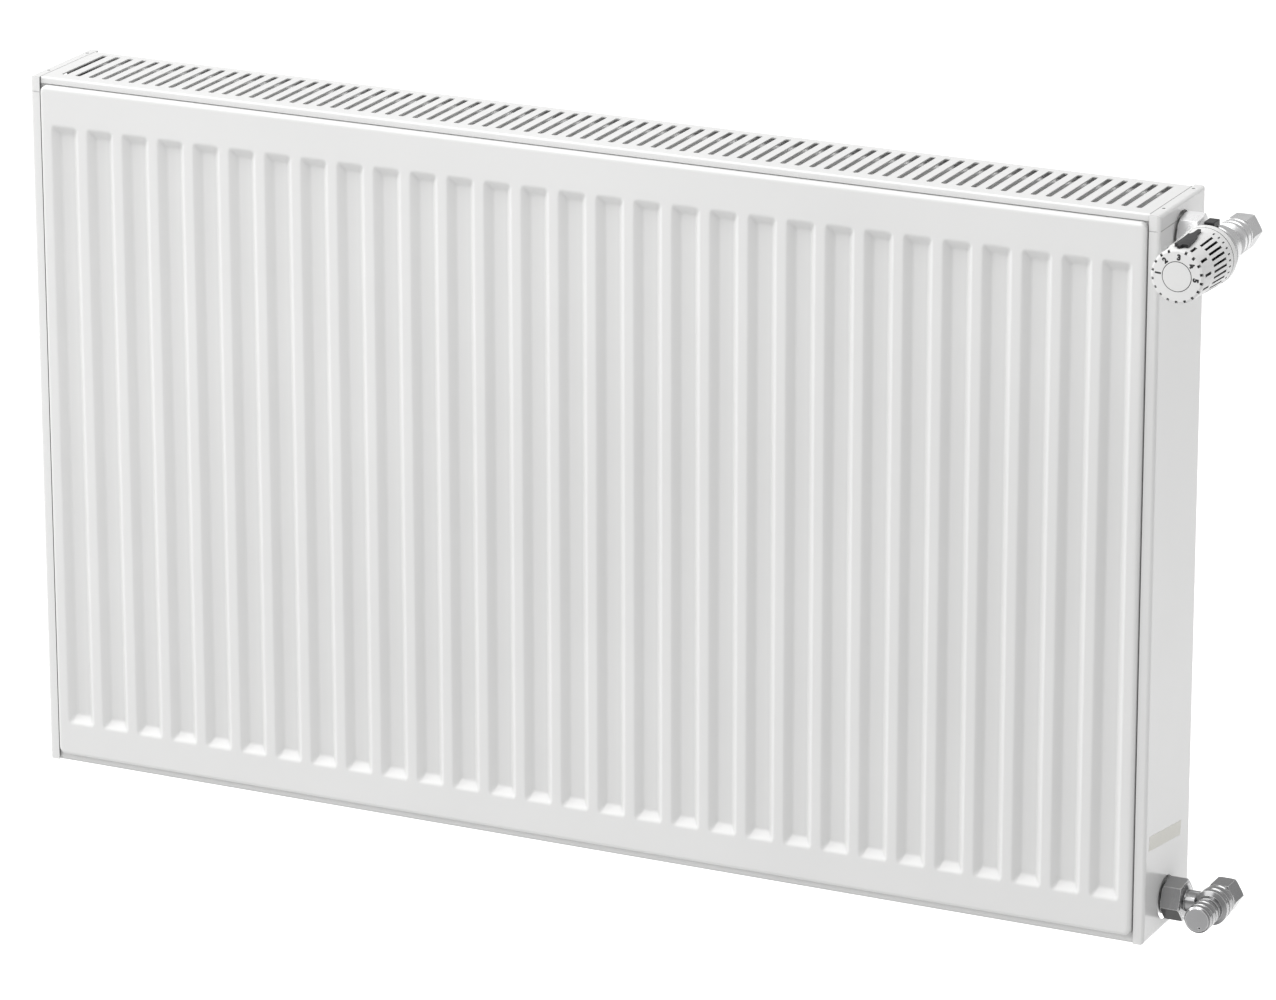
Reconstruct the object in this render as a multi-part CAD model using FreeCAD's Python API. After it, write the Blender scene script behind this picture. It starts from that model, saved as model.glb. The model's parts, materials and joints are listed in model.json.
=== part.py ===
"""Steel panel radiator, type 22, 1000 x 600 x 100 mm, with a thermostatic valve and a lockshield valve.

X runs to the right, Y from the front to the wall and Z up.  The model is drawn with X = 0 and Z = 0 at
the middle of the panels and Y = 0 on the front face; save() then moves every piece so that the origin
lies at the middle of the four hanging lugs, on the plane where they meet the wall brackets.
"""
import FreeCAD
import Part
import math
import os
from FreeCAD import Rotation, Vector

# --- overall sizes, mm ---
WIDTH = 1000.0              # over the two side covers
HEIGHT = 600.0              # over the grille and the bottom seam
DEPTH = 100.0               # front face to back face
CHANNELS = 30               # upright water channels in each panel
CHANNEL_PITCH = 100.0 / 3

# --- water panels: two pressed sheets, welded back to back ---
SHEET = 1.2
PRESS = 5.7                 # how far a sheet's face stands out of its flange
FACE_W, FACE_H = 980.0, 587.2
FACE_EDGE_R = 3.5
FLANGE_W, FLANGE_H = 993.0, 598.0
FLANGE_DROP = 1.0           # the flange reaches the bottom edge and leaves room for the grille on top
RECESS_MOUTH, RECESS_FLOOR = 24.3, 13.1
RECESS_TOP, RECESS_BOTTOM = 260.5, -264.5
RECESS_END_SLOPE = 8.0
PANEL = 2 * (PRESS + SHEET)

# --- convectors ---
FIN_SHEET = 0.5
FIN_DEPTH = 34.0
FIN_FOOT, FIN_LEG = 12.0, 4.67
FIN_TOP, FIN_BOTTOM = 254.0, -254.0

# --- casing ---
CASE_SHEET = 0.8
COVER_RETURN = 9.0          # how far a side cover's lips reach inwards
COVER_FRONT = 3.0
COVER_EDGE_R = 3.0
HOLE_R = 18.0
SEAM_Z = 287.0              # fine folding line across the top of a side cover
GRILLE_SHEET = 1.0
GRILLE_W = 981.0
GRILLE_FRONT, GRILLE_BACK = 4.4, 95.6
SKIRT_DROP = 5.6
SLOTS, SLOT_PITCH = 77, 12.53
SLOT_W, SLOT_FRONT, SLOT_BACK, SLOT_END_R = 5.0, 18.0, 87.0, 1.8

# --- water connections: four G 1/2 sockets in the sides ---
PORT_Y, PORT_Z = 50.0, 275.0
TEE_X = 478.0
TEE_R, TEE_BORE = 10.4, 8.0
SOCKET_R, THREAD_BORE, THREAD_R = 13.5, 10.5, 10.45
SOCKET_END = 498.9

# --- hanging lugs ---
LUG_X, LUG_Z = 300.0, 230.0
LUG_W, LUG_SHEET = 46.0, 2.0
LUG_STAND = 10.0
LUG_SLOT_R, LUG_SLOT_LENGTH = 4.5, 24.0
WALL_PLANE = DEPTH + LUG_STAND

# --- valves, both axial: the tail runs along X, the pipe and the head along Y ---
VALVE_X = 541.0
BARREL_R = 14.5
PIPE_BORE = 7.55            # takes a 15 mm pipe
UNION_X = 512.0             # where tail and body meet
UNION_AF = 30.0
PIPE_NUT_AF = 25.0
SOCKET_THREAD_R = 10.4
SEAT_Y = 57.0

X_AXIS, Y_AXIS, Z_AXIS = Vector(1, 0, 0), Vector(0, 1, 0), Vector(0, 0, 1)
TO_LUGS = Vector(0, -WALL_PLANE, 0)


def save(name, shape):
    """Write one piece, moved so that the origin lies on the wall plane of the lugs."""
    placed = shape.copy()
    placed.translate(TO_LUGS)
    placed.exportStep("parts/" + name + ".step")
    print(f"{name:28s} solids {len(placed.Solids):3d}  volume {placed.Volume:12.1f}  {placed.isValid()}")


def box(x, y, z):
    """Box between two limits on each axis."""
    return Part.makeBox(x[1] - x[0], y[1] - y[0], z[1] - z[0], Vector(x[0], y[0], z[0]))


def aim(shape, start, direction):
    """Move a piece drawn along +X from the origin to a start point and a direction."""
    shape.Placement = FreeCAD.Placement(start, Rotation(X_AXIS, direction))
    return shape


def turned(start, direction, outline):
    """Turned piece: the outline lists (distance along the axis, radius) points of a closed section."""
    points = [Vector(along, radius, 0) for along, radius in outline]
    face = Part.Face(Part.makePolygon(points + points[:1]))
    return aim(face.revolve(Vector(0, 0, 0), X_AXIS, 360), start, direction)


def rod(start, direction, radius, length):
    return Part.makeCylinder(radius, length, start, direction)


def ring(start, direction, outer, inner, length):
    return turned(start, direction, [(0, inner), (0, outer), (length, outer), (length, inner)])


def hexagon(start, direction, across_flats, length, chamfer=0.0, turn=0.0):
    """Hexagonal bar, chamfered where asked; bars along X stand on a corner, bars along Y lie on a flat."""
    corner = across_flats / math.sqrt(3)
    angles = [math.radians(30 + 60 * k + turn) for k in range(7)]
    points = [Vector(0, corner * math.cos(a), corner * math.sin(a)) for a in angles]
    if abs(direction.y) > 0.5:
        points = [Vector(0, corner * math.sin(a), corner * math.cos(a)) for a in angles]
    bar = Part.Face(Part.makePolygon(points)).extrude(Vector(length, 0, 0))
    if chamfer:
        waist = corner - chamfer
        slope = chamfer * 0.58
        bar = bar.common(turned(Vector(0, 0, 0), X_AXIS, [
            (0, 0), (0, waist), (slope, corner), (length - slope, corner), (length, waist), (length, 0)]))
    return aim(bar, start, direction)


def edges_where(shape, test):
    """Edges whose two ends both pass the test."""
    return [e for e in shape.Edges if all(test(v.Point) for v in e.Vertexes)]


# ---------------------------------------------------------------- water panels

def rounded_block(half_w, half_h, front, back, radius):
    """Block whose front face has rounded edges and corners."""
    block = box((-half_w, half_w), (front, back), (-half_h, half_h))
    corners = [e for e in block.Edges if abs(e.tangentAt(e.FirstParameter).y) > 0.9]
    block = block.makeFillet(radius + 2.0, corners)
    return block.makeFillet(radius, edges_where(block, lambda p: abs(p.y - front) < 0.01))


def recesses(lift):
    """The upright recesses as solids, with lift moving them towards the wall."""
    slope = (RECESS_MOUTH - RECESS_FLOOR) / 2 / PRESS
    end_slope = RECESS_END_SLOPE / PRESS
    over = 1.0 + lift
    tools = []
    for k in range(CHANNELS - 1):
        x = (k - (CHANNELS - 2) / 2) * CHANNEL_PITCH
        mouth = RECESS_MOUTH / 2 + over * slope
        floor = RECESS_FLOOR / 2
        tool = Part.makeWedge(
            x - mouth, lift - over, RECESS_BOTTOM - over * end_slope,
            RECESS_BOTTOM + RECESS_END_SLOPE, x - floor,
            x + mouth, lift + PRESS, RECESS_TOP + over * end_slope,
            RECESS_TOP - RECESS_END_SLOPE, x + floor)
        tools.append(tool)
    return tools


def outer_sheet():
    """Front sheet of the front panel: raised face, 29 recesses and a flange all round."""
    back = PRESS + SHEET
    block = rounded_block(FACE_W / 2, FACE_H / 2, 0, back, FACE_EDGE_R)
    flange = box((-FLANGE_W / 2, FLANGE_W / 2), (PRESS, back),
                 (-FLANGE_H / 2 - FLANGE_DROP, FLANGE_H / 2))
    skin = block.fuse(flange).cut(recesses(0.0))
    water = rounded_block(FACE_W / 2 - SHEET, FACE_H / 2 - SHEET, SHEET, back + 1, FACE_EDGE_R - SHEET)
    water = water.common(box((-WIDTH, WIDTH), (0, back), (-HEIGHT, HEIGHT))).cut(recesses(SHEET))
    return skin.cut(water)


def tee_mouths(start_y, length):
    """Round openings where the four tees join a panel."""
    return [rod(Vector(side * TEE_X, start_y, level * PORT_Z), Y_AXIS, TEE_BORE, length)
            for side in (-1, 1) for level in (-1, 1)]


def make_panels():
    front_outer = outer_sheet()
    front_inner = front_outer.mirror(Vector(0, PRESS + SHEET, 0), Y_AXIS)
    front_inner = front_inner.cut(tee_mouths(PANEL - 4, 5))
    middle = Vector(0, DEPTH / 2, 0)
    save("front_panel_outer_sheet", front_outer)
    save("front_panel_inner_sheet", front_inner)
    save("rear_panel_inner_sheet", front_inner.mirror(middle, Y_AXIS))
    save("rear_panel_outer_sheet", front_outer.mirror(middle, Y_AXIS))


# ---------------------------------------------------------------- convectors

def strip(points, thickness):
    """Closed outline of a bent strip: the points and the same points moved to their left."""
    moved = []
    for k, point in enumerate(points):
        before = (point - points[k - 1]) if k else (points[1] - point)
        after = (points[k + 1] - point) if k + 1 < len(points) else (point - points[k - 1])
        left = [Vector(-d.y, d.x, 0) / d.Length for d in (before, after)]
        moved.append(point + (left[0] + left[1]) * (thickness / (1 + left[0].dot(left[1]))))
    return Part.Face(Part.makePolygon(points + moved[::-1] + points[:1]))


def convector(first, last):
    """Folded fin sheet over the channels first..last, its feet welded to the channels' backs."""
    near, far = PANEL, PANEL + FIN_DEPTH - FIN_SHEET
    points = []
    for k in range(first, last + 1):
        x = (k - (CHANNELS - 1) / 2) * CHANNEL_PITCH
        points += [Vector(x - FIN_FOOT / 2, near, 0), Vector(x + FIN_FOOT / 2, near, 0)]
        if k < last:
            points += [Vector(x + FIN_FOOT / 2 + FIN_LEG, far, 0),
                       Vector(x + CHANNEL_PITCH - FIN_FOOT / 2 - FIN_LEG, far, 0)]
    sheet = strip(points, FIN_SHEET).extrude(Vector(0, 0, FIN_TOP - FIN_BOTTOM))
    sheet.translate(Vector(0, 0, FIN_BOTTOM))
    return sheet


def make_convectors():
    half = CHANNELS // 2
    middle = Vector(0, DEPTH / 2, 0)
    for side, channels in (("left", (0, half - 1)), ("right", (half, CHANNELS - 1))):
        fins = convector(*channels)
        save("front_convector_" + side, fins)
        save("rear_convector_" + side, fins.mirror(middle, Y_AXIS))


# ---------------------------------------------------------------- casing

def make_grille():
    top = HEIGHT / 2
    outside = box((-GRILLE_W / 2, GRILLE_W / 2), (GRILLE_FRONT, GRILLE_BACK), (top - SKIRT_DROP, top))
    outside = outside.makeFillet(1.6, [e for e in edges_where(outside, lambda p: abs(p.z - top) < 0.01)
                                       if abs(e.tangentAt(e.FirstParameter).x) > 0.9])
    skirt = 0.8
    inside = box((-GRILLE_W, GRILLE_W), (GRILLE_FRONT + skirt, GRILLE_BACK - skirt),
                 (top - SKIRT_DROP - 1, top - GRILLE_SHEET))
    slot = box((-SLOT_W / 2, SLOT_W / 2), (SLOT_FRONT, SLOT_BACK), (top - 3, top + 1))
    slot = slot.makeFillet(SLOT_END_R, [e for e in slot.Edges if abs(e.tangentAt(e.FirstParameter).z) > 0.9])
    slots = []
    for k in range(SLOTS):
        cutter = slot.copy()
        cutter.translate(Vector((k - (SLOTS - 1) / 2) * SLOT_PITCH, 0, 0))
        slots.append(cutter)
    save("top_grille", outside.cut(inside).cut(slots))


def side_cover():
    """Right side cover: a shallow pan, open towards the panels and at the bottom."""
    half_w, half_h = WIDTH / 2, HEIGHT / 2
    lip = half_w - COVER_RETURN
    outside = box((lip, half_w), (COVER_FRONT, DEPTH), (-half_h, half_h))
    outside = outside.makeFillet(COVER_EDGE_R, edges_where(outside, lambda p: abs(p.x - half_w) < 0.01))
    inside = box((lip - 1, half_w - CASE_SHEET), (COVER_FRONT + CASE_SHEET, DEPTH - CASE_SHEET),
                 (-half_h - 1, half_h - CASE_SHEET))
    inner_edges = [e for e in edges_where(inside, lambda p: abs(p.x - half_w + CASE_SHEET) < 0.01)
                   if e.BoundBox.ZMax > 0]
    inside = inside.makeFillet(COVER_EDGE_R - CASE_SHEET, inner_edges)
    pan = outside.cut(inside)
    for level in (-1, 1):
        pan = pan.cut(rod(Vector(half_w - 2, PORT_Y, level * PORT_Z), X_AXIS, HOLE_R, 4))
    seam = (SEAM_Z - 0.3, SEAM_Z + 0.3)
    pan = pan.cut(box((lip - 1, half_w + 1), (COVER_FRONT - 1, COVER_FRONT + 0.3), seam))
    pan = pan.cut(box((half_w - 0.3, half_w + 1), (COVER_FRONT - 1, PORT_Y), seam))
    for depth in (24.7, 88.0):
        pan = pan.cut(rod(Vector(half_w - 5.5, depth, half_h - 2), Z_AXIS, 1.5, 4))
    for front in (PRESS, DEPTH - PRESS - 2 * SHEET):
        for level in (-150, 0, 150):
            for near, far in ((front - 1.2, front), (front + 2 * SHEET, front + 2 * SHEET + 1.2)):
                tongue = box((FLANGE_W / 2 - 2.5, half_w - CASE_SHEET), (near, far), (level - 10, level + 10))
                pan = pan.fuse(tongue)
    return pan


def make_covers():
    right = side_cover()
    save("right_side_cover", right)
    save("left_side_cover", right.mirror(Vector(0, 0, 0), X_AXIS))
    label = box((WIDTH / 2, WIDTH / 2 + 0.15), (-34.5, 34.5), (-6, 6))
    label.rotate(Vector(0, 0, 0), X_AXIS, -7.5)
    label.translate(Vector(0, 45.5, -221.5))
    save("side_label", label)


# ---------------------------------------------------------------- tees and lugs

def tee(side, level):
    """Cross pipe between the two panels with a threaded socket towards the side."""
    z = level * PORT_Z
    centre = Vector(TEE_X, PORT_Y, z)
    length = SOCKET_END - TEE_X
    pipe = rod(Vector(TEE_X, PANEL, z), Y_AXIS, TEE_R, DEPTH - 2 * PANEL)
    body = pipe.fuse(rod(centre, X_AXIS, SOCKET_R, length))
    body = body.cut(rod(Vector(TEE_X, PANEL - 1, z), Y_AXIS, TEE_BORE, DEPTH))
    body = body.cut(rod(centre, X_AXIS, TEE_BORE, length + 1))
    body = body.cut(rod(centre + X_AXIS * 7.0, X_AXIS, THREAD_BORE, length))
    if side < 0:
        body.rotate(Vector(0, PORT_Y, 0), Z_AXIS, 180)
    return body


def lug(side, level):
    """Bridge-shaped strap on the back sheet with a slot for the wall bracket's hook."""
    foot, riser, deck = 16.0, 6.0, 17.0
    raised = LUG_SHEET - LUG_STAND
    points = [Vector(deck + riser + foot, 0, 0), Vector(deck + riser, 0, 0), Vector(deck, raised, 0),
              Vector(-deck, raised, 0), Vector(-deck - riser, 0, 0), Vector(-deck - riser - foot, 0, 0)]
    strap = strip(points, LUG_SHEET).extrude(Vector(0, 0, LUG_W))
    strap.translate(Vector(0, 0, -LUG_W / 2))
    strap.rotate(Vector(0, 0, 0), Vector(1, 0, 1), 180)
    strap.translate(Vector(0, DEPTH, 0))
    half = LUG_SLOT_LENGTH / 2 - LUG_SLOT_R
    slot = box((-half, half), (DEPTH, DEPTH + 20), (-LUG_SLOT_R, LUG_SLOT_R))
    for end in (-half, half):
        slot = slot.fuse(rod(Vector(end, DEPTH, 0), Y_AXIS, LUG_SLOT_R, 20))
    strap = strap.cut(slot)
    strap.translate(Vector(side * LUG_X, 0, level * LUG_Z))
    return strap


def make_fixings():
    for side, side_name in ((-1, "left"), (1, "right")):
        for level, level_name in ((-1, "lower"), (1, "upper")):
            save(f"tee_{level_name}_{side_name}", tee(side, level))
            save(f"lug_{level_name}_{side_name}", lug(side, level))


# ---------------------------------------------------------------- plugs on the left

def plug_start(level):
    return Vector(-SOCKET_END, PORT_Y, level * PORT_Z)


def make_left_plugs():
    out, inwards = Vector(-1, 0, 0), Vector(1, 0, 0)
    gasket = 2.0
    for level, name in ((-1, "blanking_plug"), (1, "air_vent_plug")):
        start = plug_start(level)
        seal = ring(start, out, 14.5, THREAD_R + 0.2, gasket)
        save(name + "_seal", seal)
        plug = rod(start + out * gasket, out, 16.0, 3.0)
        plug = plug.fuse(rod(start + inwards * 13.0, out, THREAD_R, 16.0))
        if level < 0:
            plug = plug.fuse(hexagon(start + out * (gasket + 3), out, 22.0, 6.0, 1.5))
            plug = plug.cut(rod(start + inwards * 14.0, out, 7.0, 12.0))
        else:
            plug = plug.fuse(hexagon(start + out * (gasket + 3), out, 24.0, 4.0, 1.5))
            plug = plug.cut(rod(start + inwards * 14.0, out, 3.05, 40.0))
            plug = plug.cut(rod(start + out * (gasket + 3.5), out, 8.6, 10.0))
        save(name, plug)
    start = plug_start(1)
    screw = turned(start + inwards * 11.0, out, [(0, 0), (2.5, 3.0), (17.0, 3.0), (17.0, 0)])
    square = box((-2.5, 2.5), (-2.5, 2.5), (-2.5, 2.5))
    square.translate(start + out * 8.2)
    slot = box((start.x - 11.0, start.x - 9.2), (PORT_Y - 0.5, PORT_Y + 0.5), (PORT_Z - 3, PORT_Z + 3))
    save("bleed_screw", screw.fuse(square).cut(slot))
    nozzle = turned(start + out * (gasket + 3.6), out,
                    [(0, 4.0), (0, 8.2), (5.4, 8.2), (6.6, 7.2), (6.6, 4.0)])
    spout = rod(start + out * 10.9 + Z_AXIS * -6.0, Z_AXIS * -1, 1.3, 5.5)
    outlet = rod(start + out * 10.9, Z_AXIS * -1, 0.6, 20.0)
    save("vent_nozzle", nozzle.fuse(spout).cut(outlet))


# ---------------------------------------------------------------- valve parts shared by both valves

def union_tail(level):
    """Tail screwed into the radiator: thread, neck, and the collar that the nut pulls on."""
    bore = 7.0
    outline = [(0, bore), (0, THREAD_R), (13.4, THREAD_R), (14.4, 9.5), (23.0, 9.5), (23.0, 11.8),
               (26.0, 11.8), (26.0, bore)]
    return turned(Vector(UNION_X - 26.0, PORT_Y, level * PORT_Z), X_AXIS, outline)


def union_nut(level):
    start = Vector(501.5, PORT_Y, level * PORT_Z)
    nut = hexagon(start, X_AXIS, UNION_AF, 16.0, 1.6, -20.0)
    nut = nut.cut(rod(start - X_AXIS, X_AXIS, 9.7, 20.0))
    return nut.cut(rod(start + X_AXIS * 7.5, X_AXIS, 13.25, 20.0))


def compression_nut(level):
    start = Vector(VALVE_X, 61.5, level * PORT_Z)
    nut = hexagon(start, Y_AXIS, PIPE_NUT_AF, 18.5, 1.4)
    nut = nut.cut(rod(start - Y_AXIS, Y_AXIS, PIPE_BORE, 30.0))
    return nut.cut(rod(start - Y_AXIS, Y_AXIS, SOCKET_THREAD_R + 0.05, 17.5))


def olive(level):
    """Soft ring that the nut squeezes between body and pipe."""
    return turned(Vector(VALVE_X, 73.2, level * PORT_Z), Y_AXIS,
                  [(0, PIPE_BORE), (0, 8.6), (2.2, 9.6), (4.0, 9.6), (4.8, 8.6), (4.8, PIPE_BORE)])


def valve_body(level, front_outline, front_bore):
    """Brass body: barrel along Y, branch towards the radiator, pipe socket towards the wall."""
    centre = Vector(VALVE_X, 0, level * PORT_Z)
    barrel = turned(centre, Y_AXIS, front_outline + [
        (42.0, BARREL_R), (46.0, BARREL_R), (46.8, 13.4), (48.8, 13.4), (49.6, 14.3), (54.4, 14.3),
        (55.4, 12.9), (58.0, 12.9), (58.8, 13.6), (60.4, 13.6), (61.0, SOCKET_THREAD_R),
        (73.0, SOCKET_THREAD_R), (73.0, 0)])
    branch = turned(Vector(UNION_X, PORT_Y, level * PORT_Z), X_AXIS,
                    [(0, 0), (0, 13.2), (5.6, 13.2), (6.6, 9.0), (20.0, 9.0), (26.0, 11.0), (28.0, 0)])
    body = barrel.fuse(branch)
    body = body.cut(rod(Vector(UNION_X - 1, PORT_Y, level * PORT_Z), X_AXIS, 6.5, 30.0))
    chamber = turned(centre, Y_AXIS, [(front_bore[0], 0), (front_bore[0], front_bore[1]),
                                      (38.0, front_bore[1]), (39.0, 10.5), (SEAT_Y, 10.5), (SEAT_Y, 0)])
    body = body.cut(chamber)
    body = body.cut(rod(centre + Y_AXIS * (SEAT_Y - 1), Y_AXIS, 6.0, 10.0))
    return body.cut(rod(centre + Y_AXIS * 62.0, Y_AXIS, PIPE_BORE, 20.0))


# ---------------------------------------------------------------- thermostatic valve

HEAD_FRONT = -66.0
HEAD_REAR = -1.5
HEAD_WALL = 2.2
HEAD_R_FRONT, HEAD_R_REAR = 21.4, 24.0


def head_radius(y):
    """Outer radius of the handwheel, which widens slightly towards the radiator."""
    share = (y - HEAD_FRONT) / (HEAD_REAR - HEAD_FRONT)
    return HEAD_R_FRONT + (HEAD_R_REAR - HEAD_R_FRONT) * share


def radial_slots(count, offset, y_front, y_back, width, bottom=18.6):
    """Narrow slots in the handwheel's wall, evenly spaced round it, clear of the memory clip."""
    tools = []
    for k in range(count):
        turn = offset + 360.0 * k / count
        if min(turn % 360, -turn % 360) < 17:
            continue
        cutter = box((-width / 2, width / 2), (y_front, y_back), (bottom, 30.0))
        cutter.rotate(Vector(0, 0, 0), Y_AXIS, turn)
        cutter.translate(Vector(VALVE_X, 0, PORT_Z))
        tools.append(cutter)
    return tools


def handwheel():
    """White cap that carries the numbered dial: a slotted shell closed at the front."""
    axis = Vector(VALVE_X, 0, PORT_Z)
    front, rear, wall = HEAD_FRONT, HEAD_REAR, HEAD_WALL
    outline = [(front + 1.2, 0), (front + 1.2, 12.0), (front, 12.0), (front, 19.6), (front + 0.8, 21.2),
               (front + 2.4, HEAD_R_FRONT), (rear, HEAD_R_REAR), (rear, HEAD_R_REAR - wall),
               (front + 4.4, HEAD_R_FRONT - wall), (front + 4.0, 0)]
    shell = turned(axis, Y_AXIS, outline)
    shell = shell.fuse(ring(axis + Y_AXIS * (front + 17.5), Y_AXIS, 20.6, 17.06, 3.0))
    groove = front + 57.8
    shell = shell.cut(ring(axis + Y_AXIS * groove, Y_AXIS, 30.0, head_radius(groove) - 0.5, 0.7))
    shell = shell.cut(radial_slots(18, 0.0, front - 1.0, front + 1.5, 2.0, 19.0))
    shell = shell.cut(radial_slots(12, -5.0, front + 4.6, front + 15.5, 2.2))
    shell = shell.cut(radial_slots(30, 4.0, front + 21.5, front + 45.0, 1.9))
    return shell.cut(radial_slots(30, 0.0, front + 49.5, front + 53.0, 1.1, 22.7))


def memory_clip():
    """Black bell-shaped clip pressed on the handwheel over the numeral 3."""
    lift, top = 0.15, 2.4
    length = (HEAD_FRONT + 2.6, HEAD_FRONT + 46.0)
    half = [(1.2, 0), (1.4, 4), (5.5, 5.5), (5.3, 11), (4.7, 21), (3.5, 30), (1.6, 34.5), (1.2, 43.4)]
    outline = [(x, length[0] + y) for x, y in half] + [(-x, length[0] + y) for x, y in half[::-1]]
    points = [Vector(x, y, 0) for x, y in outline]
    plate = Part.Face(Part.makePolygon(points + points[:1])).extrude(Vector(0, 0, 30))
    shell = turned(Vector(0, 0, 0), Y_AXIS, [
        (length[0] - 1, head_radius(length[0] - 1) + lift),
        (length[0] - 1, head_radius(length[0] - 1) + top),
        (length[1] + 1, head_radius(length[1] + 1) + top),
        (length[1] + 1, head_radius(length[1] + 1) + lift)])
    clip = plate.common(shell)
    clip.translate(Vector(VALVE_X, 0, PORT_Z))
    return clip


def make_thermostat():
    axis = Vector(VALVE_X, 0, PORT_Z)
    save("trv_body", valve_body(1, [(15.0, 0), (15.0, 14.95), (30.0, 14.95), (31.0, 11.5), (40.0, 11.5)],
                                (14.0, 9.05)))
    save("trv_union_tail", union_tail(1))
    save("trv_union_nut", union_nut(1))
    save("trv_compression_nut", compression_nut(1))
    save("trv_olive", olive(1))
    save("trv_valve_insert", turned(axis, Y_AXIS, [
        (17.0, 4.0), (17.0, 9.0), (38.0, 9.0), (38.0, 5.0), (43.0, 5.0), (43.0, 2.05),
        (24.0, 2.05), (24.0, 4.0)]))
    save("trv_gland_seal", turned(axis, Y_AXIS, [
        (17.0, 2.05), (17.0, 3.95), (23.95, 3.95), (23.95, 2.05)]))
    save("trv_spindle", turned(axis, Y_AXIS, [
        (8.0, 0), (8.0, 2.0), (51.0, 2.0), (51.0, 8.0), (53.0, 8.0), (53.0, 0)]))
    save("trv_disc_seal", rod(axis + Y_AXIS * 53.0, Y_AXIS, 8.0, 2.4))
    save("trv_coupling_nut", turned(axis, Y_AXIS, [
        (2.6, 17.6), (2.6, 20.6), (3.4, 21.2), (6.2, 21.2), (7.2, 20.0), (8.6, 20.0), (9.6, 20.8),
        (14.0, 20.4), (15.0, 19.2), (17.0, 19.2), (18.0, 18.6), (22.0, 18.2), (23.0, 17.2), (26.4, 17.2),
        (28.0, 15.8), (28.0, 15.0), (15.0, 15.0), (15.0, 17.6)]))
    base = turned(axis, Y_AXIS, [
        (-52.0, 15.2), (-52.0, 17.0), (-1.0, 17.0), (0.2, 18.4), (0.2, 22.6), (1.6, 22.6), (2.4, 21.8),
        (2.4, 17.5), (14.9, 17.5), (14.9, 2.6), (4.0, 2.6), (4.0, 15.2)])
    save("head_base", base)
    save("head_seam_ring", turned(axis, Y_AXIS, [
        (-1.3, 18.5), (-1.3, 23.4), (0.2, 23.4), (0.2, 18.5)]))
    block = box((VALVE_X - 4.2, VALVE_X + 4.2), (0.2, 12.0), (PORT_Z + 21.4, PORT_Z + 26.0))
    block = block.makeFillet(0.8, edges_where(block, lambda p: p.z > PORT_Z + 25.9))
    save("head_index_block", block.cut(base))
    save("sensor_element", turned(axis, Y_AXIS, [
        (-46.0, 0), (-46.0, 12.0), (-44.0, 14.4), (-12.0, 14.4), (-8.0, 10.0), (-8.0, 2.5),
        (7.9, 2.5), (7.9, 0)]))
    save("handwheel", handwheel())
    save("handwheel_centre_cap", rod(axis + Y_AXIS * (HEAD_FRONT - 0.1), Y_AXIS, 11.5, 1.3))
    save("memory_clip", memory_clip())


# ---------------------------------------------------------------- lockshield valve

def make_lockshield():
    axis = Vector(VALVE_X, 0, -PORT_Z)
    save("lockshield_body", valve_body(-1, [(22.0, 0), (22.0, 9.0), (33.0, 9.0), (34.0, 11.0), (40.0, 11.0)],
                                       (21.0, 7.05)))
    save("lockshield_union_tail", union_tail(-1))
    save("lockshield_union_nut", union_nut(-1))
    save("lockshield_compression_nut", compression_nut(-1))
    save("lockshield_olive", olive(-1))
    save("lockshield_gland", turned(axis, Y_AXIS, [(24.0, 3.55), (24.0, 7.0), (36.0, 7.0), (36.0, 3.55)]))
    spindle = turned(axis, Y_AXIS, [
        (21.5, 0), (21.5, 3.5), (36.2, 3.5), (36.2, 5.0), (38.0, 5.0), (38.0, 2.5), (50.0, 2.5), (50.0, 0)])
    save("lockshield_spindle", spindle.cut(hexagon(axis + Y_AXIS * 21.0, Y_AXIS, 4.0, 5.0)))
    save("lockshield_cone", turned(axis, Y_AXIS, [
        (41.0, 2.55), (41.0, 8.5), (51.0, 8.5), (53.9, 6.6), (53.9, 0), (53.4, 0), (53.4, 2.55)]))
    cap = turned(axis, Y_AXIS, [
        (12.7, 0), (12.7, 9.6), (14.0, 11.1), (17.4, 11.3), (18.0, 10.6), (19.4, 10.6), (20.0, 11.3),
        (24.6, 11.3), (25.4, 10.4), (27.0, 10.4), (27.6, 11.1), (30.6, 11.1), (31.5, 10.4), (31.5, 9.05),
        (17.0, 9.05), (17.0, 0)])
    dimple = rod(axis + Vector(2.2, 12.0, -6.3), Y_AXIS, 0.8, 1.7)
    save("lockshield_cap", cap.cut(dimple))


def main():
    os.makedirs("parts", exist_ok=True)
    make_panels()
    make_convectors()
    make_grille()
    make_covers()
    make_fixings()
    make_left_plugs()
    make_thermostat()
    make_lockshield()


main()
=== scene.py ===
"""Looks of the panel radiator with its thermostatic and lockshield valves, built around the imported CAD."""
import json
import math

import bpy
from mathutils import Euler, Matrix, Vector


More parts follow.
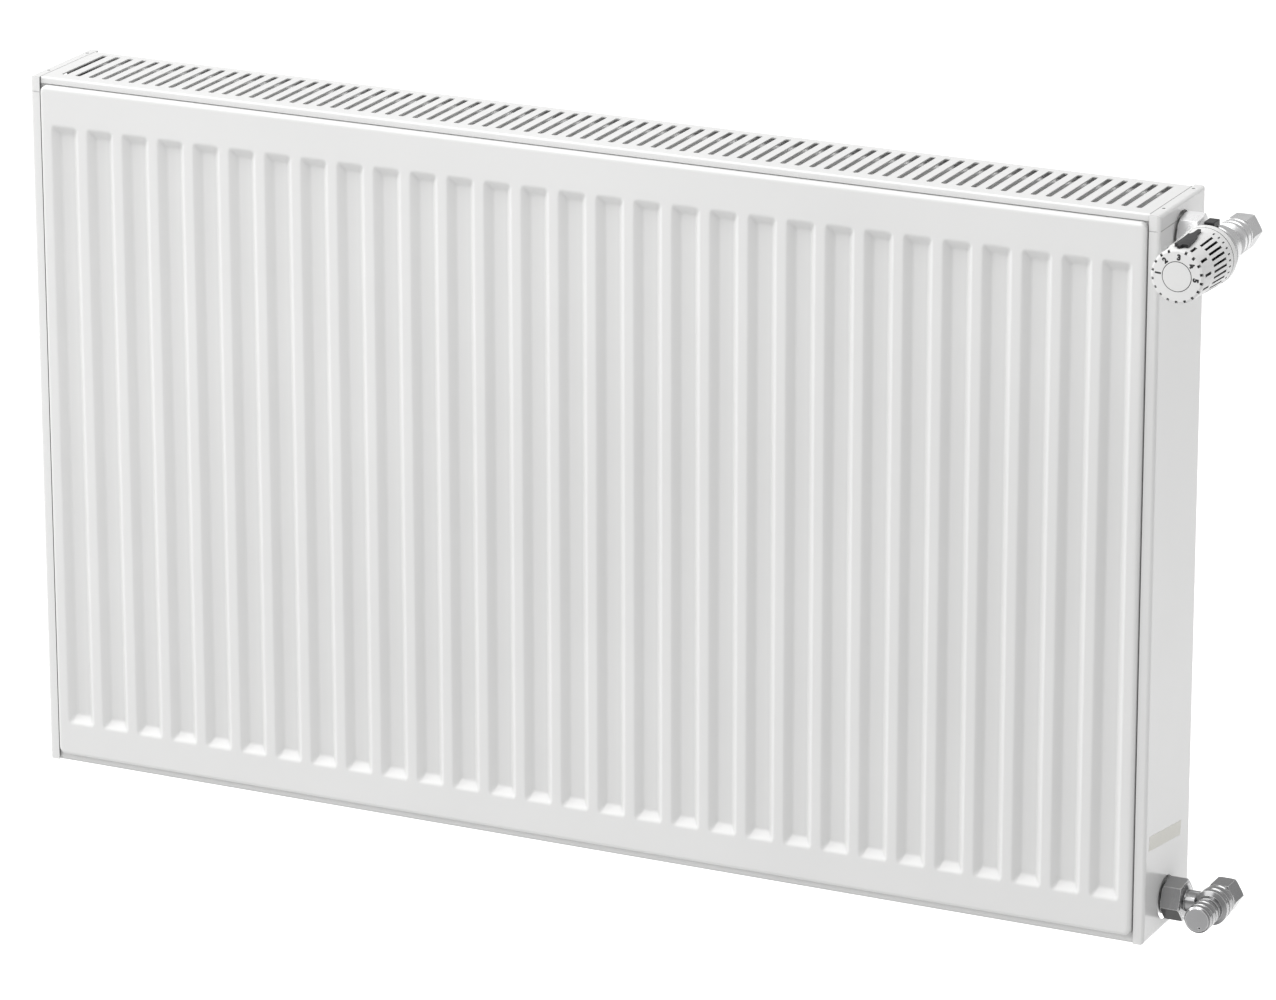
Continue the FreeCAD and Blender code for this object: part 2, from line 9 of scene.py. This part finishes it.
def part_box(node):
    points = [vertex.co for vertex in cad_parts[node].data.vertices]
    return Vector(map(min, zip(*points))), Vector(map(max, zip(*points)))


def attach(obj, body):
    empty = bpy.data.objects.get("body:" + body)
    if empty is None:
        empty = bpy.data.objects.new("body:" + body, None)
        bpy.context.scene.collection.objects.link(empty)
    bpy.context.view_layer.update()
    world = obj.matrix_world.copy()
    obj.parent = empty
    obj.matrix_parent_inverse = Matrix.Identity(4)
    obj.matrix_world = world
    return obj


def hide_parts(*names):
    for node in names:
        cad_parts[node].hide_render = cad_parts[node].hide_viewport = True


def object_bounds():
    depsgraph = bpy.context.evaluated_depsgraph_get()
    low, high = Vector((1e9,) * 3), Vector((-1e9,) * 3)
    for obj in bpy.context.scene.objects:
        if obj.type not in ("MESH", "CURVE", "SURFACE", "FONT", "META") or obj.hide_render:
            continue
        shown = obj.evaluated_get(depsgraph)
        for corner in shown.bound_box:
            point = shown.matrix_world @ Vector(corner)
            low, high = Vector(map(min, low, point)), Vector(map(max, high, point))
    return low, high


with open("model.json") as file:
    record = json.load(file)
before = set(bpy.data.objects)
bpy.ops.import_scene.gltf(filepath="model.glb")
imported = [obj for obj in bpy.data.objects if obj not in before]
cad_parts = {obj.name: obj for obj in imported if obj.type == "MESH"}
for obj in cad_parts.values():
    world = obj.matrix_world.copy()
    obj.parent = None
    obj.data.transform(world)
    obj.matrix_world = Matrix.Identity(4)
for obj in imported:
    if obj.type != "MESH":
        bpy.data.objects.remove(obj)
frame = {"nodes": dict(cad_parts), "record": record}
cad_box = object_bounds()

MM = 0.001
RAY_SAMPLES = 4              # rays that the bevel and openness nodes send out
NODES = frame["nodes"]


# ---------------------------------------------------------------- places read from the frame

def middle(node):
    lo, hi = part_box(node)
    return (lo + hi) / 2


HEAD_AXIS = middle("handwheel_centre_cap")
DIAL_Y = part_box("handwheel")[0].y


# ---------------------------------------------------------------- material helpers

class Shader:
    """One material's node tree, with short calls for the nodes used here."""

    def __init__(self, name, colour, roughness, metallic=0.0, **sockets):
        self.material = bpy.data.materials.new(name)
        self.material.use_nodes = True
        self.tree = self.material.node_tree
        self.bsdf = self.tree.nodes["Principled BSDF"]
        self.set("Base Color", (*colour, 1.0))
        self.set("Roughness", roughness)
        self.set("Metallic", metallic)
        for socket, value in sockets.items():
            self.set(socket.replace("_", " "), value)
        coordinates = self.tree.nodes.new("ShaderNodeTexCoord")
        self.place = coordinates.outputs["Object"]
        self.normal = None

    def set(self, socket, value):
        self.bsdf.inputs[socket].default_value = value

    def link(self, start, end):
        self.tree.links.new(start, end)

    def stretch(self, x, y, z):
        """Coordinates scaled apart along the axes, for brushed or drawn surfaces."""
        mapping = self.tree.nodes.new("ShaderNodeMapping")
        mapping.inputs["Scale"].default_value = (x, y, z)
        self.link(self.place, mapping.inputs["Vector"])
        return mapping.outputs["Vector"]

    def noise(self, scale, detail=2.0, roughness=0.5, place=None):
        node = self.tree.nodes.new("ShaderNodeTexNoise")
        node.inputs["Scale"].default_value = scale
        node.inputs["Detail"].default_value = detail
        node.inputs["Roughness"].default_value = roughness
        self.link(place or self.place, node.inputs["Vector"])
        return node.outputs["Fac"]

    def ramp(self, value, low, high, start=0.0, end=1.0):
        """Spread a value between two levels over the output range start..end."""
        node = self.tree.nodes.new("ShaderNodeMapRange")
        node.inputs["From Min"].default_value = low
        node.inputs["From Max"].default_value = high
        node.inputs["To Min"].default_value = start
        node.inputs["To Max"].default_value = end
        self.link(value, node.inputs["Value"])
        return node.outputs["Result"]

    def blend(self, amount, first, second):
        """Colour between two colours, each a triple or another node's output."""
        node = self.tree.nodes.new("ShaderNodeMix")
        node.data_type = "RGBA"
        for socket, colour in ((node.inputs[6], first), (node.inputs[7], second)):
            if isinstance(colour, tuple):
                socket.default_value = (*colour, 1.0)
            else:
                self.link(colour, socket)
        self.link(amount, node.inputs[0])
        return node.outputs[2]

    def colour(self, output):
        self.link(output, self.bsdf.inputs["Base Color"])

    def roughness(self, output):
        self.link(output, self.bsdf.inputs["Roughness"])

    def bump(self, height, distance_mm, strength=1.0):
        node = self.tree.nodes.new("ShaderNodeBump")
        node.inputs["Strength"].default_value = strength
        node.inputs["Distance"].default_value = distance_mm * MM
        self.link(height, node.inputs["Height"])
        self.bend(node)

    def bevel(self, radius_mm):
        node = self.tree.nodes.new("ShaderNodeBevel")
        node.samples = RAY_SAMPLES
        node.inputs["Radius"].default_value = radius_mm * MM
        return node

    def edges(self, radius_mm):
        """Soften sharp edges by bending the normal near them."""
        self.bend(self.bevel(radius_mm))

    def bend(self, node):
        """Put a bump or bevel after those already there, and shade with its normal."""
        if self.normal:
            self.link(self.normal, node.inputs["Normal"])
        self.normal = node.outputs["Normal"]
        self.link(self.normal, self.bsdf.inputs["Normal"])

    def edge_mask(self, radius_mm):
        """0 on flats, rising to 1 on a sharp edge, from how far a rounded normal leaves the true one."""
        bevel = self.bevel(radius_mm)
        geometry = self.tree.nodes.new("ShaderNodeNewGeometry")
        dot = self.tree.nodes.new("ShaderNodeVectorMath")
        dot.operation = "DOT_PRODUCT"
        self.link(bevel.outputs["Normal"], dot.inputs[0])
        self.link(geometry.outputs["True Normal"], dot.inputs[1])
        return self.ramp(dot.outputs["Value"], 0.995, 0.94)

    def shelter(self, colour, distance_mm, low, high, darkest):
        """Painted shade: darken a colour in slots and corners, full from an openness of high, times darkest
        at low.
        """
        node = self.tree.nodes.new("ShaderNodeAmbientOcclusion")
        node.samples = RAY_SAMPLES
        node.inputs["Distance"].default_value = distance_mm * MM
        amount = self.ramp(node.outputs["AO"], low, high, darkest, 1.0)
        scale = self.tree.nodes.new("ShaderNodeVectorMath")
        scale.operation = "SCALE"
        self.link(colour, scale.inputs[0])
        self.link(amount, scale.inputs["Scale"])
        return scale.outputs["Vector"]

    def facing_down(self, start, end):
        """0 where the surface faces up or sideways, rising to 1 where it faces down."""
        geometry = self.tree.nodes.new("ShaderNodeNewGeometry")
        split = self.tree.nodes.new("ShaderNodeSeparateXYZ")
        self.link(geometry.outputs["Normal"], split.inputs["Vector"])
        return self.ramp(split.outputs["Z"], start, end)


def enamel(name, tone, gloss, peel_mm, reach_mm, darkest):
    """White powder coat: faint clouding, uneven gloss, orange peel and a few specks, with painted shade in
    its corners.
    """
    deep = tuple(c * 0.965 for c in tone)
    shader = Shader(name, tone, gloss, Coat_Weight=0.25, Coat_Roughness=0.12, IOR=1.5)
    cloud = shader.noise(3.5, 3.0, 0.55)
    base = shader.blend(shader.ramp(cloud, 0.35, 0.65), tone, deep)
    specks = shader.ramp(shader.noise(1400.0, 1.0), 0.80, 0.84)
    coat = shader.blend(specks, base, tuple(c * 0.80 for c in tone))
    # painted shade: the coat goes darker in corners and recesses, down to darkest within reach_mm
    shader.colour(shader.shelter(coat, reach_mm, 0.15, 0.80, darkest))
    shader.roughness(shader.ramp(shader.noise(26.0, 4.0, 0.6), 0.3, 0.7, gloss * 0.82, gloss * 1.2))
    shader.bump(shader.noise(420.0, 2.0, 0.45), peel_mm, 0.35)
    shader.bump(shader.noise(60.0, 1.0), peel_mm * 2.5, 0.18)
    return shader.material


def nickel(name, tone, gloss, underside_shade, metallic):
    """Nickel plate: turning marks and smears, with painted shade on the undersides and in the grooves and a
    painted highlight on the edges.
    """
    shader = Shader(name, tone, gloss, metallic=metallic)
    smear = shader.noise(70.0, 4.0, 0.6)
    plate = shader.blend(shader.ramp(smear, 0.3, 0.7), tone, tuple(c * 0.92 for c in tone))
    # painted shade: the plate is darker where it faces down
    plate = shader.blend(shader.facing_down(-0.25, -0.70), plate, tuple(c * underside_shade for c in tone))
    # painted highlight: sharp edges turn near white
    plate = shader.blend(shader.edge_mask(0.8), plate, PAINTED_EDGE_HIGHLIGHT)
    # painted shade in the grooves, from the openness node
    shader.colour(shader.shelter(plate, *GROOVE_SHADE))
    shader.roughness(shader.ramp(shader.noise(60.0, 2.0), 0.3, 0.7, gloss * 0.9, gloss * 1.25))
    shader.bump(shader.noise(1.0, 3.0, 0.6, shader.stretch(900.0, 2600.0, 900.0)), 0.01, 0.12)
    shader.edges(0.3)
    return shader.material


def machined(name, tone, gloss, metallic=1.0):
    """Turned or drawn metal with fine lines round its axis."""
    shader = Shader(name, tone, gloss, metallic=metallic)
    lines = shader.noise(1.0, 2.0, 0.5, shader.stretch(500.0, 5200.0, 500.0))
    shader.colour(shader.blend(shader.ramp(lines, 0.3, 0.7), tone, tuple(c * 0.84 for c in tone)))
    shader.roughness(shader.ramp(lines, 0.3, 0.7, gloss * 0.8, gloss * 1.3))
    shader.bump(lines, 0.015, 0.4)
    return shader.material


def plastic(name, tone, gloss, grain_mm, edge_mm=0.4, slots=False):
    """Moulded plastic: a fine spark-eroded grain, flow marks and softened edges; narrow slots get painted
    shade.
    """
    shader = Shader(name, tone, gloss, IOR=1.48)
    flow = shader.noise(22.0, 3.0, 0.5)
    base = shader.blend(shader.ramp(flow, 0.3, 0.7), tone, tuple(c * 0.95 for c in tone))
    # painted shade: with slots, the colour goes near black deep in narrow slots
    shader.colour(shader.shelter(base, *SLOT_SHADE) if slots else base)
    shader.roughness(shader.ramp(shader.noise(150.0, 2.0), 0.3, 0.7, gloss * 0.85, gloss * 1.15))
    shader.bump(shader.noise(2200.0, 2.0, 0.6), grain_mm, 0.5)
    shader.edges(edge_mm)
    return shader.material


def paper(name, tone):
    """Paper label: fibres, a faint yellowing and a dull surface."""
    shader = Shader(name, tone, 0.62)
    fibres = shader.noise(1.0, 4.0, 0.65, shader.stretch(600.0, 900.0, 3000.0))
    shader.colour(shader.blend(shader.ramp(fibres, 0.35, 0.65), tone, tuple(c * 0.90 for c in tone)))
    shader.bump(fibres, 0.02, 0.5)
    return shader.material


# ---------------------------------------------------------------- materials

# colour of the painted highlight on sharp nickel edges
PAINTED_EDGE_HIGHLIGHT = (0.97, 0.97, 0.97)
# painted shade: reach, openness range and darkest tone for nickel grooves and for the head's slots
GROOVE_SHADE = (3.0, 0.30, 0.90, 0.15)      # reach in mm, openness where dark, where clear, darkest tone
SLOT_SHADE = (3.5, 0.50, 0.90, 0.02)

LOOKS = {
    # the last two numbers of each enamel set its painted shade in corners: reach and darkest tone
    "panel": enamel("panel_enamel", (0.80, 0.80, 0.795), 0.34, peel_mm=0.05, reach_mm=5.0, darkest=0.35),
    "casing": enamel("casing_enamel", (0.81, 0.81, 0.805), 0.20, peel_mm=0.03, reach_mm=12.0, darkest=0.12),
    "fins": enamel("fin_enamel", (0.62, 0.62, 0.61), 0.45, peel_mm=0.04, reach_mm=8.0, darkest=0.30),
    # the valve and the lockshield wear the same nickel plate in two tones: the valve's made bright as a
    # painted reflection of white surroundings, the lockshield's made dark, with near-black undersides, as
    # painted dark reflections and shade
    "nickel": nickel("nickel_plate", (0.80, 0.80, 0.805), 0.26, underside_shade=0.40, metallic=0.80),
    "shaded_nickel": nickel("shaded_nickel_plate", (0.42, 0.42, 0.425), 0.16, underside_shade=0.06, metallic=0.95),
    "brass": machined("turned_brass", (0.72, 0.52, 0.25), 0.28),
    "steel": machined("ground_steel", (0.50, 0.50, 0.51), 0.30),
    "sensor": machined("drawn_aluminium", (0.62, 0.62, 0.63), 0.35),
    "rubber": plastic("black_rubber", (0.022, 0.022, 0.023), 0.60, 0.03, 0.2),
    "head": plastic("white_plastic", (0.82, 0.82, 0.815), 0.36, 0.012, slots=True),
    "black": plastic("black_plastic", (0.018, 0.018, 0.019), 0.42, 0.02, 0.5),
    # black plastic of the head base, made extra dark and dull: partly its own black, partly painted shade
    # for the dark seam behind the head
    "seam_shade_black": plastic("dull_black_plastic_seam_shade", (0.008, 0.008, 0.008), 0.80, 0.03, 0.3),
    "label": paper("cream_label", (0.88, 0.87, 0.81)),
    "ink": plastic("dial_ink", (0.020, 0.020, 0.022), 0.5, 0.01, 0.05),
}

SLOT_LOOK = {
    "white_enamel": "panel", "convector_enamel": "fins", "black_rubber": "rubber", "nickel_plate": "nickel",
    "brass": "brass", "steel": "steel", "white_plastic": "head", "black_plastic": "black",
    "sensor_metal": "sensor", "cream_label": "label",
}
NODE_LOOK = {
    "top_grille": "casing", "left_side_cover": "casing", "right_side_cover": "casing", "head_base": "seam_shade_black",
    "lockshield_body": "shaded_nickel", "lockshield_union_nut": "shaded_nickel", "lockshield_union_tail": "shaded_nickel",
    "lockshield_compression_nut": "shaded_nickel", "lockshield_cap": "shaded_nickel",
}


def dress(piece, look):
    piece.data.materials.clear()
    piece.data.materials.append(LOOKS[look])


def dress_frame():
    """Give every CAD node the finish of its slot."""
    slots = {part["node"]: part["material_slot"] for part in frame["record"]["subparts"]}
    for node, piece in NODES.items():
        dress(piece, NODE_LOOK.get(node) or SLOT_LOOK[slots[node]])


def new_piece(name, mesh, body, look):
    piece = bpy.data.objects.new(name, mesh)
    bpy.context.scene.collection.objects.link(piece)
    dress(piece, look)
    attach(piece, body)
    return piece


# ---------------------------------------------------------------- pressed outer sheets

CHANNELS = 30
PITCH = 100.0 / 3
FACE_HALF_W, FACE_HALF_H = 490.0, 293.6
EDGE_R, CORNER_R = 3.5, 6.0
PRESS, SHEET = 5.7, 1.2
MOUTH_HALF = 12.15
RECESS_TOP, RECESS_BOTTOM = 260.5, -264.5
END_STEEPNESS = 0.72         # the recesses end in a gentler slope than they have at their sides
RECESS_CORNER_R = 3.0
MOUTH_ROUND, FLOOR_ROUND = 0.8, 0.4


def soft_ramp(value, width):
    """max(0, value) with its corner rounded over +-width."""
    if value >= width:
        return value
    if value <= -width:
        return 0.0
    return (value + width) ** 2 / (4 * width)


def inside_corner(a, b, radius):
    """Distance inside a rectangle from the distances to two sides, its corner rounded."""
    if a >= radius or b >= radius:
        return min(a, b)
    return radius - math.hypot(radius - a, radius - b)


def recess_depth(x, z):
    """How far the sheet lies behind the raised face at a point, from the nearest recess."""
    k = max(0, min(CHANNELS - 2, round(x / PITCH + (CHANNELS - 2) / 2)))
    across = MOUTH_HALF - abs(x - (k - (CHANNELS - 2) / 2) * PITCH)
    along = min(RECESS_TOP - z, z - RECESS_BOTTOM) * END_STEEPNESS
    down = soft_ramp(inside_corner(across, along, RECESS_CORNER_R), MOUTH_ROUND)
    return PRESS - soft_ramp(PRESS - down, FLOOR_ROUND)


def rim_depth(x, z):
    """How far the sheet lies behind the raised face near its rounded rim."""
    inside = inside_corner(FACE_HALF_W - abs(x), FACE_HALF_H - abs(z), CORNER_R)
    if inside < 0:
        return PRESS
    if inside >= EDGE_R:
        return 0.0
    return EDGE_R - math.sqrt(EDGE_R ** 2 - (EDGE_R - inside) ** 2)


def unique_sorted(values):
    return sorted({round(v, 3) for v in values})


def sheet_lines(half_w, bottom, top):
    """Grid lines across and up the sheet, closer together where it bends."""
    rim = (-3.0, -0.6, -0.1, 0.0, 0.15, 0.5, 1.0, 1.7, 2.6, 3.6, 4.8, 6.0)
    steps = (13.9, 13.0, 12.1, 11.2, 10.2, 8.2, 7.3, 6.4, 5.5, 4.6, 0.0)
    across = [side * half_w for side in (-1, 1)]
    across += [side * (FACE_HALF_W - r) for side in (-1, 1) for r in rim]
    for k in range(CHANNELS - 1):
        centre = (k - (CHANNELS - 2) / 2) * PITCH
        across += [centre + side * step for side in (-1, 1) for step in steps]
    ends = (-2.4, -1.2, 0.0, 1.2, 2.4, 3.6, 5.0, 6.4, 7.8, 9.2, 10.6, 12.5, 16.0)
    up = [bottom, top]
    up += [side * (FACE_HALF_H - r) for side in (-1, 1) for r in rim]
    up += [RECESS_TOP - e for e in ends] + [RECESS_BOTTOM + e for e in ends]
    up += [RECESS_BOTTOM + (RECESS_TOP - RECESS_BOTTOM) * k / 9 for k in range(1, 9)]
    return unique_sorted(across), unique_sorted(up)


def pressed_sheet(node, facing):
    """The outer sheet of a water panel as one closed, smoothly pressed shell."""
    lo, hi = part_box(node)
    front = lo.y if facing < 0 else hi.y
    across, up = sheet_lines((hi.x - lo.x) / 2 / MM, lo.z / MM, hi.z / MM)
    columns, rows = len(across), len(up)
    skin = []
    for z in up:
        for x in across:
            depth = max(recess_depth(x, z), rim_depth(x, z))
            skin.append((x * MM, front - facing * depth * MM, z * MM))
    back = [(x, y - facing * SHEET * MM, z) for x, y, z in skin]
    count = len(skin)
    faces = []
    for r in range(rows - 1):
        for c in range(columns - 1):
            a = r * columns + c
            quad = (a, a + 1, a + columns + 1, a + columns)
            faces.append(quad if facing < 0 else quad[::-1])
            inner = tuple(count + v for v in quad)
            faces.append(inner[::-1] if facing < 0 else inner)
    loop = [c for c in range(columns)] + [r * columns + columns - 1 for r in range(1, rows)]
    loop += [(rows - 1) * columns + c for c in range(columns - 2, -1, -1)]
    loop += [r * columns for r in range(rows - 2, 0, -1)]
    for a, b in zip(loop, loop[1:] + loop[:1]):
        quad = (b, a, count + a, count + b)
        faces.append(quad if facing < 0 else quad[::-1])
    mesh = bpy.data.meshes.new(node + "_pressed")
    mesh.from_pydata(skin + back, [], faces)
    mesh.shade_smooth()
    piece = new_piece(node + "_pressed", mesh, "radiator", "panel")
    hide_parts(node)
    return piece


# ---------------------------------------------------------------- dial

NUMERALS = 5
NUMERAL_STEP = 45.0
DIAL_TURN = 5.0
NUMERAL_RING = 15.1
NUMERAL_SIZE = 6.0
NUMERAL_BOLD = 0.38
INK_RAISE = 0.06


def numeral(number):
    """One numeral on the dial, its top pointing outwards."""
    curve = bpy.data.curves.new("numeral", "FONT")
    curve.body = str(number)
    curve.size = NUMERAL_SIZE * MM
    curve.align_x = "CENTER"
    curve.align_y = "CENTER"
    curve.extrude = INK_RAISE * MM
    curve.offset = NUMERAL_BOLD * MM
    drawn = bpy.data.objects.new("numeral", curve)
    bpy.context.scene.collection.objects.link(drawn)
    mesh = bpy.data.meshes.new_from_object(drawn)
    bpy.data.objects.remove(drawn)
    turn = math.radians((number - (NUMERALS + 1) / 2) * NUMERAL_STEP + DIAL_TURN)
    place = Matrix.Translation((HEAD_AXIS.x + NUMERAL_RING * MM * math.sin(turn), DIAL_Y,
                                HEAD_AXIS.z + NUMERAL_RING * MM * math.cos(turn)))
    mesh.transform(place @ Matrix.Rotation(turn, 4, "Y") @ Matrix.Rotation(math.radians(90), 4, "X"))
    return new_piece(f"dial_numeral_{number}", mesh, "handwheel", "ink")


# ---------------------------------------------------------------- camera, lights and floor

LENS, SENSOR = 190.4, 36.0
CAMERA_PLACE = (2.293, -4.761, 1.700)
CAMERA_TURN = (90 - 18.13, 0.08, 25.64)     # degrees about X, Y and Z

WORLD_STRENGTH = 0.45
LIGHTS = (                                  # name, place, target, size in m, power in W
    ("backdrop", (-1.1, 1.8, 2.4), (-1.1, 1.8, 0.0), (3.2, 2.8), 25.0),
    ("key", (-4.2, -1.1, 2.3), (0.0, 0.0, 0.0), (1.5, 1.5), 92.0),
    ("front", (-1.3, -2.2, 1.9), (-0.1, 0.0, 0.0), (3.0, 2.0), 28.0),
    ("top", (0.2, -1.2, 3.2), (0.0, 0.0, 0.0), (3.0, 2.4), 57.0),
    ("side", (3.5, 0.3, 1.0), (0.5, 0.0, 0.0), (1.6, 1.6), 3.0),
)

FLOOR_HALF, FLOOR_DROP = 30.0, 0.90         # the radiator hangs this far above the floor
FLOOR_PALE, FLOOR_DULL = (0.61, 0.61, 0.61), (0.59, 0.59, 0.59)
# painted light: the floor emits light, weak at GLOW_FROM and strong at GLOW_TO
GLOW_FROM, GLOW_TO = 0.2, 1.1               # the floor glows more and more from here to there, along Y
GLOW_WEAK, GLOW_STRONG = 0.24, 0.85


def make_camera():
    data = bpy.data.cameras.new("camera")
    data.sensor_width = SENSOR
    data.lens = LENS
    data.clip_start, data.clip_end = 0.1, 100.0
    camera = bpy.data.objects.new("camera", data)
    camera.location = CAMERA_PLACE
    camera.rotation_euler = Euler([math.radians(angle) for angle in CAMERA_TURN])
    bpy.context.scene.collection.objects.link(camera)
    bpy.context.scene.camera = camera


def area_light(name, place, target, size, power):
    data = bpy.data.lights.new(name, "AREA")
    data.shape = "RECTANGLE"
    data.size, data.size_y = size
    data.energy = power
    light = bpy.data.objects.new(name, data)
    light.location = place
    light.rotation_euler = (Vector(target) - Vector(place)).to_track_quat("-Z", "Y").to_euler()
    bpy.context.scene.collection.objects.link(light)


def make_world():
    world = bpy.data.worlds.new("studio")
    world.use_nodes = True
    background = world.node_tree.nodes["Background"]
    background.inputs["Color"].default_value = (1.0, 1.0, 1.0, 1.0)
    background.inputs["Strength"].default_value = WORLD_STRENGTH
    bpy.context.scene.world = world


def floor_paint():
    """Pale paint with painted light: the floor glows more towards the back, so that the background is white
    and the front stays shaded.
    """
    shader = Shader("floor_paint", (0.60, 0.60, 0.60), 0.9)
    shader.colour(shader.blend(shader.noise(0.8, 3.0), FLOOR_PALE, FLOOR_DULL))
    split = shader.tree.nodes.new("ShaderNodeSeparateXYZ")
    shader.link(shader.place, split.inputs["Vector"])
    # painted light: an emission that rises along Y
    glow = shader.ramp(split.outputs["Y"], GLOW_FROM, GLOW_TO, GLOW_WEAK, GLOW_STRONG)
    shader.set("Emission Color", (1.0, 1.0, 1.0, 1.0))
    shader.link(glow, shader.bsdf.inputs["Emission Strength"])
    return shader.material


def make_floor():
    """Pale floor below the hanging radiator, its paint glowing towards the back as painted light."""
    mesh = bpy.data.meshes.new("floor")
    z = cad_box[0].z - FLOOR_DROP
    corners = ((-1, -1), (1, -1), (1, 1), (-1, 1))
    mesh.from_pydata([(x * FLOOR_HALF, y * FLOOR_HALF, z) for x, y in corners], [], [(0, 1, 2, 3)])
    floor = bpy.data.objects.new("floor", mesh)
    bpy.context.scene.collection.objects.link(floor)
    mesh.materials.append(floor_paint())


def make_studio():
    make_world()
    make_floor()
    for light in LIGHTS:
        area_light(*light)
    bpy.context.scene.view_settings.view_transform = "Standard"


dress_frame()
pressed_sheet("front_panel_outer_sheet", -1)
pressed_sheet("rear_panel_outer_sheet", 1)
for value in range(1, NUMERALS + 1):
    numeral(value)
make_camera()
make_studio()
